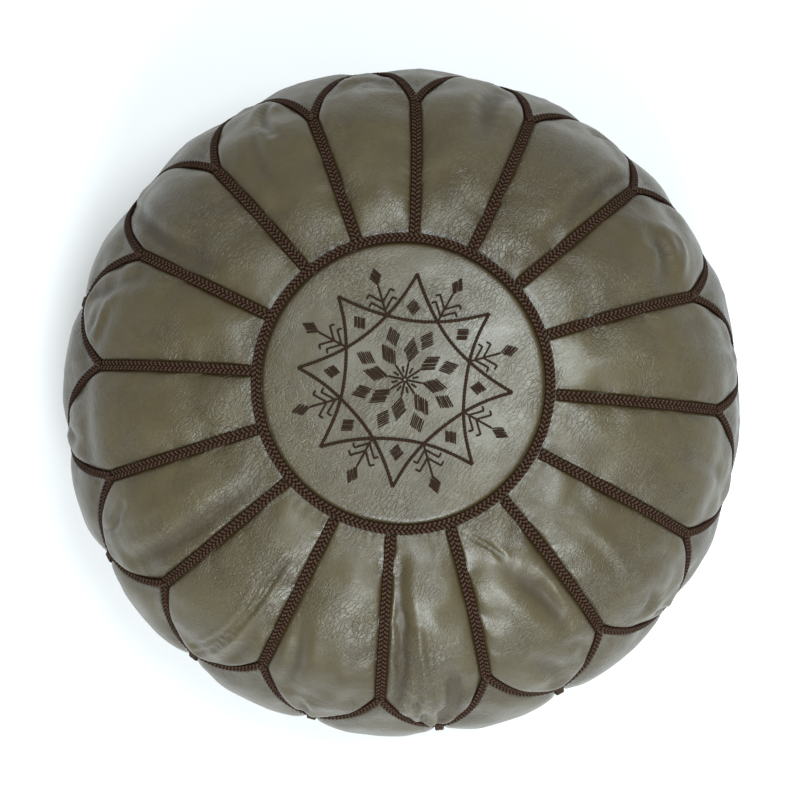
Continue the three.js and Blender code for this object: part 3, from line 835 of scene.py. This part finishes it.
STAR_TURN = math.radians(-2.1)
STAR_TIP = 81.8 * MM
STAR_HOLLOW = 45.4 * MM
STAR_ROPE = 2.7 * MM
FINE_ROPE = 1.85 * MM
SATIN_THREAD = 1.05 * MM
STAR_CENTRE = np.array([1.3, 1.5]) * MM
THREAD_STEP = 0.7 * MM


def turned(points, angle, distance=0.0):
    """Plan points (n, 2) moved out along their own x axis, then turned round the centre."""
    points = np.asarray(points, dtype=float) + [distance, 0]
    cos, sin = math.cos(angle), math.sin(angle)
    return points @ np.array([[cos, sin], [-sin, cos]])


def on_leather(line, lift):
    """A plan line (n, 2) laid on the medallion, with the leather's normals."""
    x, y = (line + STAR_CENTRE).T
    return on_medallion(x, y, lift), normal_at(np.arctan2(y, x), theta_at(np.hypot(x, y)))


def rope(threads, line, width):
    """Stem stitch along a plan line: two threads twisted round each other, half sunk in the leather."""
    line = resampled(line, THREAD_STEP)
    points, normals = on_leather(line, width * 0.22)
    side = np.cross(normals, tangents_of(points))
    phase = TAU * along(points) / (1.9 * width)
    for start in (0, math.pi):
        swing = width * 0.23 * np.sin(phase + start)
        rise = width * 0.2 * np.cos(phase + start)
        centres = points + side * swing[:, None] + normals * rise[:, None]
        threads.add(centres, normals, width * 0.58, width * 0.5)


def satin(threads, centre_radius, angle, length, width, strands, lean=1):
    """A lozenge filled with threads laid side by side, parallel to one of its sides."""
    one = np.array([length, lean * width]) / 2
    other = np.array([length, -lean * width]) / 2
    for strand in range(strands):
        share = (strand + 0.5) / strands - 0.5
        ends = np.array([-0.5, 0.5])[:, None] * one * rng.uniform(0.94, 1.08) + other * share
        ends = turned(ends + rng.normal(0, 0.12 * MM, (2, 2)), angle, centre_radius)
        line = resampled(ends, THREAD_STEP)
        share_along = np.linspace(0, 1, len(line))
        points, normals = on_leather(line, 0.0)
        points = points + normals * (0.62 * MM * np.sin(math.pi * share_along) ** 0.5)[:, None]
        threads.add(points, normals, SATIN_THREAD, SATIN_THREAD * 0.8)


def star_square(threads, turn):
    """One of the star's two interlaced squares, with hollow sides."""
    control = 2 * STAR_HOLLOW - STAR_TIP * math.cos(math.pi / 4)
    share = np.linspace(0, 1, 60)[:, None]
    for side in range(4):
        start = turned([[STAR_TIP, 0]], turn + side * math.pi / 2)
        middle = turned([[control, 0]], turn + (side + 0.5) * math.pi / 2)
        end = turned([[STAR_TIP, 0]], turn + (side + 1) * math.pi / 2)
        line = (1 - share) ** 2 * start + 2 * share * (1 - share) * middle + share ** 2 * end
        sway = np.hstack([np.sin(share * 9 + side), np.cos(share * 7 + turn)]) * 0.35 * MM
        rope(threads, line + sway * np.sin(share * math.pi), STAR_ROPE)


def branch(threads, angle):
    """A stem with two pairs of hooked arms and a satin lozenge at its end."""
    rope(threads, turned([[50.5 * MM, 0], [75 * MM, 0]], angle), FINE_ROPE)
    for foot in (55 * MM, 61.5 * MM):
        for hand in (1, -1):
            arm = np.array([[0, 0], [8.4, 8.4 * hand], [5.8, 11.0 * hand]]) * MM + [foot, 0]
            bent = resampled(arm, 0.4 * MM)
            rope(threads, turned(bent, angle), FINE_ROPE)
    satin(threads, 82 * MM, angle, 15.4 * MM, 9.8 * MM, 7, lean=1)


def embroidery():
    """The star, the lozenges in its points, the pinwheel at its heart and the branches between its points."""
    threads = Strands()
    star_square(threads, STAR_TURN)
    star_square(threads, STAR_TURN + math.pi / 4)
    outline = threads.build("star_stitches", silk)
    threads = Strands()
    for point in range(8):
        angle = STAR_TURN + point * math.pi / 4
        heart = angle - math.radians(5.5)
        satin(threads, 55.5 * MM, angle, 13.4 * MM, 11.2 * MM, 7, lean=-1)
        satin(threads, 22.6 * MM, heart, 20.5 * MM, 11.8 * MM, 8, lean=-1)
        satin(threads, 34.0 * MM, heart - math.radians(17.4), 17.0 * MM, 11.6 * MM, 7, lean=-1)
        rope(threads, turned([[1.0 * MM, 0], [13.0 * MM, 0]], heart), FINE_ROPE)
        rope(threads, turned([[5.5 * MM, 0], [10.5 * MM, 0]], heart + math.radians(22.5)), FINE_ROPE)
        branch(threads, angle + math.pi / 8)
    motifs = threads.build("motif_stitches", silk)
    return outline, motifs


star_stitches, motif_stitches = embroidery()
assign(star_stitches, "embroidery_star")
assign(motif_stitches)


# --- Base leather, with its zip slit ---

SLIT_HALF = 0.118
SLIT_HALF_WIDTH = 7 * MM
SLIT_CORNER = 12
SLIT_STEPS = 112
BASE_RINGS = 56
RECESS_RADIUS = 0.132
RECESS_Z = 7 * MM
FOOT_INNER_RADIUS = 0.142
FOOT_RADIUS = 0.166
HEM_WIDTH = 9 * MM
HEM_RISE = 0.7 * MM
BASE_CREASE = 0.7 * MM
STITCH_STEP = 4.4 * MM
STITCH_LENGTH = 3.4 * MM


def base_height(radius):
    """Height of the base's outer face: a flat foot round a shallow recess, with its corners eased."""
    seam_height = float(meridian(BASE)[1])
    stops = [0, RECESS_RADIUS, FOOT_INNER_RADIUS, FOOT_RADIUS, BASE_SEAM_RADIUS]
    heights = [RECESS_Z, RECESS_Z, 0, 0, seam_height]
    shifts = np.linspace(-4, 4, 9) * MM
    eased = [np.interp(np.clip(radius + shift, 0, BASE_SEAM_RADIUS), stops, heights) for shift in shifts]
    rim = np.clip((BASE_SEAM_RADIUS - radius) / (6 * MM), 0, 1)
    return np.mean(eased, axis=0) * rim + np.interp(radius, stops, heights) * (1 - rim)


def slit_outline():
    """Plan points round the slit's edge, and the matching points on the base seam."""
    straight = np.linspace(-1, 1, SLIT_STEPS) * (SLIT_HALF - SLIT_HALF_WIDTH)
    turn = np.linspace(-0.5, 0.5, SLIT_CORNER + 2)[1:-1] * math.pi
    end = np.stack([SLIT_HALF - SLIT_HALF_WIDTH + SLIT_HALF_WIDTH * np.cos(turn),
                    SLIT_HALF_WIDTH * np.sin(turn)], axis=1)
    upper = np.stack([straight[::-1], np.full(SLIT_STEPS, SLIT_HALF_WIDTH)], axis=1)
    edge = np.concatenate([end, upper, -end, -upper])
    reach = np.arccos(np.clip(edge[:, 0] / SLIT_HALF, -1, 1))
    phi = np.where(edge[:, 1] >= 0, reach, -reach)
    return edge, BASE_SEAM_RADIUS * np.stack([np.cos(phi), np.sin(phi)], axis=1)


def slit_gap(plan):
    """Distance from plan points to the slit's edge."""
    x, y = np.abs(plan[..., 0]), np.abs(plan[..., 1])
    past = np.hypot(np.maximum(x - (SLIT_HALF - SLIT_HALF_WIDTH), 0), y)
    return np.maximum(past - SLIT_HALF_WIDTH, 0)


def base_surface(plan):
    """Points on the base's outer face over plan points (n, 2)."""
    radius = np.hypot(plan[:, 0], plan[:, 1])
    flat = np.stack([plan[:, 0], plan[:, 1], 0 * radius], axis=-1)
    hem = HEM_RISE * np.clip((HEM_WIDTH - slit_gap(plan)) / (1.5 * MM), 0, 1)
    crease = BASE_CREASE * (noise_at(flat, 22) + 0.6 * noise_at(flat + 5, 60))
    calm = np.clip((BASE_SEAM_RADIUS - radius) / (10 * MM), 0, 1)
    height = base_height(radius) - hem + crease * calm
    return np.column_stack([plan, np.maximum(height, 0)])


def base_leather():
    edge, seam = slit_outline()
    shares = np.linspace(0, 1, BASE_RINGS)[:, None, None] ** 1.25
    plan = edge * (1 - shares) + seam * shares
    face = base_surface(plan.reshape(-1, 2)).reshape(BASE_RINGS, len(edge), 3)
    lip = face[0] + [0, 0, 1.9 * MM]
    tuck = face[-1] * [0.985, 0.985, 1] + [0, 0, EDGE_TURN]
    rows = np.concatenate([lip[None], face, tuck[None]])
    reach = np.minimum(BASE_SEAM_RADIUS - np.hypot(rows[..., 0], rows[..., 1]), slit_gap(rows[..., :2]))
    faces = grid_faces(len(rows), len(edge), closes=True)
    return mesh_object("base_sheet", rows, [faces], dark_leather, {"seam": reach.clip(0)})


def lock_stitches(name, line_of_plan):
    """A row of separate stitches along a closed plan line on the base."""
    line = resampled(line_of_plan, STITCH_STEP)
    threads = Strands()
    for start, end in zip(line[:-1], line[1:]):
        stretch = start + (end - start) * np.linspace(0, STITCH_LENGTH / STITCH_STEP, 7)[:, None]
        points = base_surface(stretch)
        arch = np.sin(np.linspace(0, math.pi, 7)) ** 0.5
        points[:, 2] -= 0.45 * MM * arch - 0.15 * MM
        threads.add(points, np.tile([0.0, 0.0, -1.0], (7, 1)), 0.9 * MM, 0.7 * MM)
    return threads.build(name, silk)


def ring_round_slit(gap):
    """A closed plan line at an even gap from the slit."""
    edge, _ = slit_outline()
    x = np.sign(edge[:, 0]) * np.minimum(np.abs(edge[:, 0]), SLIT_HALF - SLIT_HALF_WIDTH)
    heart = np.stack([x, 0 * x], axis=1)
    line = heart + unit(edge - heart) * (SLIT_HALF_WIDTH + gap)
    return np.concatenate([line, line[:1]])


dark_leather = leather_material("base_leather", 0.86)
assign(base_leather(), "base_leather")
for name, gap in (("zip_stitches_inner", 2.2 * MM), ("zip_stitches_outer", 7.0 * MM)):
    assign(lock_stitches(name, ring_round_slit(gap)))


# --- Zip ---

TAPE_HALF = 0.123
TAPE_INNER = 0.9 * MM
TAPE_OUTER = 14.6 * MM
TAPE_Z = 9.4 * MM
TAPE_HALF_THICK = 0.35 * MM
COIL_Y = 2.1 * MM
COIL_Z = 9.75 * MM
COIL_PITCH = 1.5 * MM
COIL_WIRE = 0.72 * MM
COIL_HALF_WIDTH = 1.0 * MM
COIL_HALF_HEIGHT = 0.62 * MM


def woven_tape():
    """Black cotton tape with a herringbone twill."""
    n = Nodes("zip_tape")
    x, y = n.plan()
    across = n.math("PINGPONG", n.times(y, 1000.0), 1.6)
    slant = n.math("ADD", n.times(x, 1000.0), across)
    rib = n.math("PINGPONG", slant, 0.45)
    crest = n.span(rib, 0.0, 0.45)
    fibre = n.noise(1800.0, 3.0)
    colour = n.mix(n.times(crest, fibre), srgb(26, 22, 20), srgb(82, 74, 66))
    normal = n.bump(crest, 0.14 * MM, 0.9)
    normal = n.bump(fibre, 0.05 * MM, 0.5, normal)
    return n.finished(Base_Color=colour, Normal=normal,
                      Roughness=0.85, Sheen_Weight=0.3, Specular_IOR_Level=0.25)


def brass():
    """Aged brass: worn bright on its high places, brown in the rest, with fine scratches."""
    n = Nodes("zip_metal")
    worn = n.span(n.noise(420.0, 5.0, 0.6), 0.38, 0.62)
    colour = n.mix(worn, srgb(112, 84, 46), srgb(196, 160, 98))
    stain = n.span(n.noise(900.0, 4.0, 0.7, distortion=1.0), 0.55, 0.75, 0.0, 0.6)
    colour = n.mix(stain, colour, srgb(70, 50, 30))
    rough = n.span(n.noise(700.0, 4.0), 0.3, 0.7, 0.28, 0.5)
    scratch = n.node("ShaderNodeMapping", {"Vector": n.position, "Scale": (300.0, 6000.0, 3000.0)})
    normal = n.bump(n.noise(1.0, 4.0, vector=scratch.outputs["Vector"]), 0.03 * MM, 0.5)
    return n.finished(Base_Color=colour, Roughness=rough, Normal=normal, Metallic=1.0)


def tape_sheet(name, side, material):
    """One tape as a thin closed band, with a slight ripple."""
    along_x = np.linspace(-TAPE_HALF, TAPE_HALF, 124)
    lower = [[0, -1], [0.25, -1], [0.5, -1], [0.75, -1], [1, -0.6]]
    section = np.array(lower + [[across, -height] for across, height in reversed(lower)])
    x = np.repeat(along_x, len(section))
    y = np.tile(TAPE_INNER + (TAPE_OUTER - TAPE_INNER) * section[:, 0], len(along_x))
    flat = np.stack([x, side * y, 0 * x], axis=-1)
    ripple = 0.12 * MM * noise_at(flat, 70) * np.clip((y - 3 * MM) / (4 * MM), 0, 1)
    z = TAPE_Z + np.tile(section[:, 1], len(along_x)) * TAPE_HALF_THICK + ripple
    faces = grid_faces(len(along_x), len(section), closes=True)
    start = np.arange(len(section))
    ends = np.stack([start[::-1], start + (len(along_x) - 1) * len(section)])
    if side > 0:
        faces, ends = faces[:, ::-1], ends[:, ::-1]
    return mesh_object(name, np.stack([x, side * y, z], axis=-1), [faces, ends], material)


def coil(name, side, material):
    """One half of the zip's coil: a wire wound along the tape's edge."""
    turns = 2 * (TAPE_HALF - 3 * MM) / COIL_PITCH
    phase = np.linspace(0, TAU * turns, int(turns * 10))
    x = -TAPE_HALF + 3 * MM + phase / TAU * COIL_PITCH + (COIL_PITCH / 2 if side > 0 else 0)
    y = side * (COIL_Y + COIL_HALF_WIDTH * np.cos(phase))
    z = COIL_Z + COIL_HALF_HEIGHT * np.sin(phase)
    centres = np.stack([x, y, z], axis=-1)
    middle = np.stack([x, 0 * x + side * COIL_Y, 0 * x + COIL_Z], axis=-1)
    wire = Strands(sides=5)
    wire.add(centres, unit(centres - middle), COIL_WIRE, COIL_WIRE)
    return wire.build(name, material)


def smooth_casting(node, name, voxel, material):
    """A copy of a CAD node's solid with its edges rounded over, as a cast piece has."""
    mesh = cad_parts[node].data.copy()
    mesh.materials.clear()
    mesh.materials.append(material)
    made = linked(name, mesh)
    remesh = made.modifiers.new("remesh", "REMESH")
    remesh.mode = "VOXEL"
    remesh.voxel_size = voxel
    remesh.use_smooth_shade = True
    relax = made.modifiers.new("relax", "SMOOTH")
    relax.factor = 0.5
    relax.iterations = 3
    return made


tape_cloth = woven_tape()
metal = brass()
coil_wire = thread_material("coil", srgb(30, 26, 24), srgb(70, 64, 58), 1.5 * MM)
for side, word in ((1, "left"), (-1, "right")):
    assign(tape_sheet(f"tape_{word}", side, tape_cloth), f"zip_tape_{word}")
    assign(coil(f"coil_{word}", side, coil_wire))
for node, name in (("zip_slider", "slider_casting"), ("zip_pull", "pull_tab")):
    assign(smooth_casting(node, name, 0.25 * MM, metal), node, body=node)


# --- Lining and stuffing, hidden inside ---

def cotton(name, dark, light, threads_per_metre, fluff):
    """Plain weave or loose wadding."""
    n = Nodes(name)
    warp, weft = (n.math("SINE", n.times(axis, threads_per_metre * TAU)) for axis in n.plan())
    weave = n.span(n.times(warp, weft), -1.0, 1.0)
    cloud = n.noise(fluff, 5.0, 0.65)
    colour = n.mix(n.times(weave, cloud), dark, light)
    normal = n.bump(weave, 0.1 * MM, 0.6)
    normal = n.bump(cloud, 1.5 * MM, 0.5, normal)
    return n.finished(Base_Color=colour, Normal=normal, Roughness=0.95, Sheen_Weight=0.2)


def repaint(node, material):
    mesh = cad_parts[node].data
    mesh.materials.clear()
    mesh.materials.append(material)


repaint("lining", cotton("lining", srgb(176, 160, 132), srgb(222, 210, 184), 700.0, 40.0))
repaint("fill", cotton("fill", srgb(196, 190, 176), srgb(238, 234, 224), 90.0, 160.0))


# --- Floor, light and camera ---

FLOOR_SIZE = 8.0
SENSOR = 36.0
LENS = 112.5
CAMERA_ELEVATION = math.radians(84.8)
CAMERA_AZIMUTH = math.radians(4.49)
CAMERA_DISTANCE = 2.0
CAMERA_TARGET = Vector((0, 0, 0.2))
AIM_RIGHT = -0.00246
AIM_UP = -0.0047
LIGHT_TARGET = Vector((0, 0, 0.15))


def pale_floor():
    n = Nodes("floor")
    tone = n.span(n.noise(6.0, 3.0), 0.3, 0.7)
    colour = n.mix(tone, (0.93, 0.93, 0.93, 1), (0.95, 0.95, 0.95, 1))
    paint = n.finished(Base_Color=colour, Roughness=0.9, Specular_IOR_Level=0.1)
    half = FLOOR_SIZE / 2
    corners = [(-half, -half, 0), (half, -half, 0), (half, half, 0), (-half, half, 0)]
    mesh_object("floor", corners, [[(0, 1, 2, 3)]], paint)


def area_light(name, spot, size, power, colour):
    data = bpy.data.lights.new(name, "AREA")
    data.shape = "DISK"
    data.size = size
    data.energy = power
    data.color = colour
    lamp = linked(name, data)
    lamp.location = spot
    lamp.rotation_euler = (LIGHT_TARGET - Vector(spot)).to_track_quat("-Z", "Y").to_euler()


def world_light(strength):
    world = bpy.data.worlds.new("studio")
    world.use_nodes = True
    background = world.node_tree.nodes["Background"].inputs
    background["Color"].default_value = (1, 1, 1, 1)
    background["Strength"].default_value = strength
    bpy.context.scene.world = world


def photo_camera():
    level = Vector((-math.sin(CAMERA_AZIMUTH), math.cos(CAMERA_AZIMUTH), 0))
    look = level * math.cos(CAMERA_ELEVATION) + Vector((0, 0, -math.sin(CAMERA_ELEVATION)))
    right = Vector((math.cos(CAMERA_AZIMUTH), math.sin(CAMERA_AZIMUTH), 0))
    up = right.cross(look)
    data = bpy.data.cameras.new("camera")
    data.lens = LENS
    data.sensor_width = SENSOR
    camera = linked("camera", data)
    camera.location = CAMERA_TARGET + right * AIM_RIGHT + up * AIM_UP - look * CAMERA_DISTANCE
    camera.rotation_euler = look.to_track_quat("-Z", "Y").to_euler()
    bpy.context.scene.camera = camera


pale_floor()
area_light("key", (0.2, -1.45, 1.65), 1.0, 40.0, (0.88, 0.97, 1.0))
area_light("overhead", (0.5, 0.4, 2.35), 1.15, 43.0, (0.86, 0.96, 1.0))
world_light(0.52)
photo_camera()
bpy.context.scene.view_settings.view_transform = "Standard"
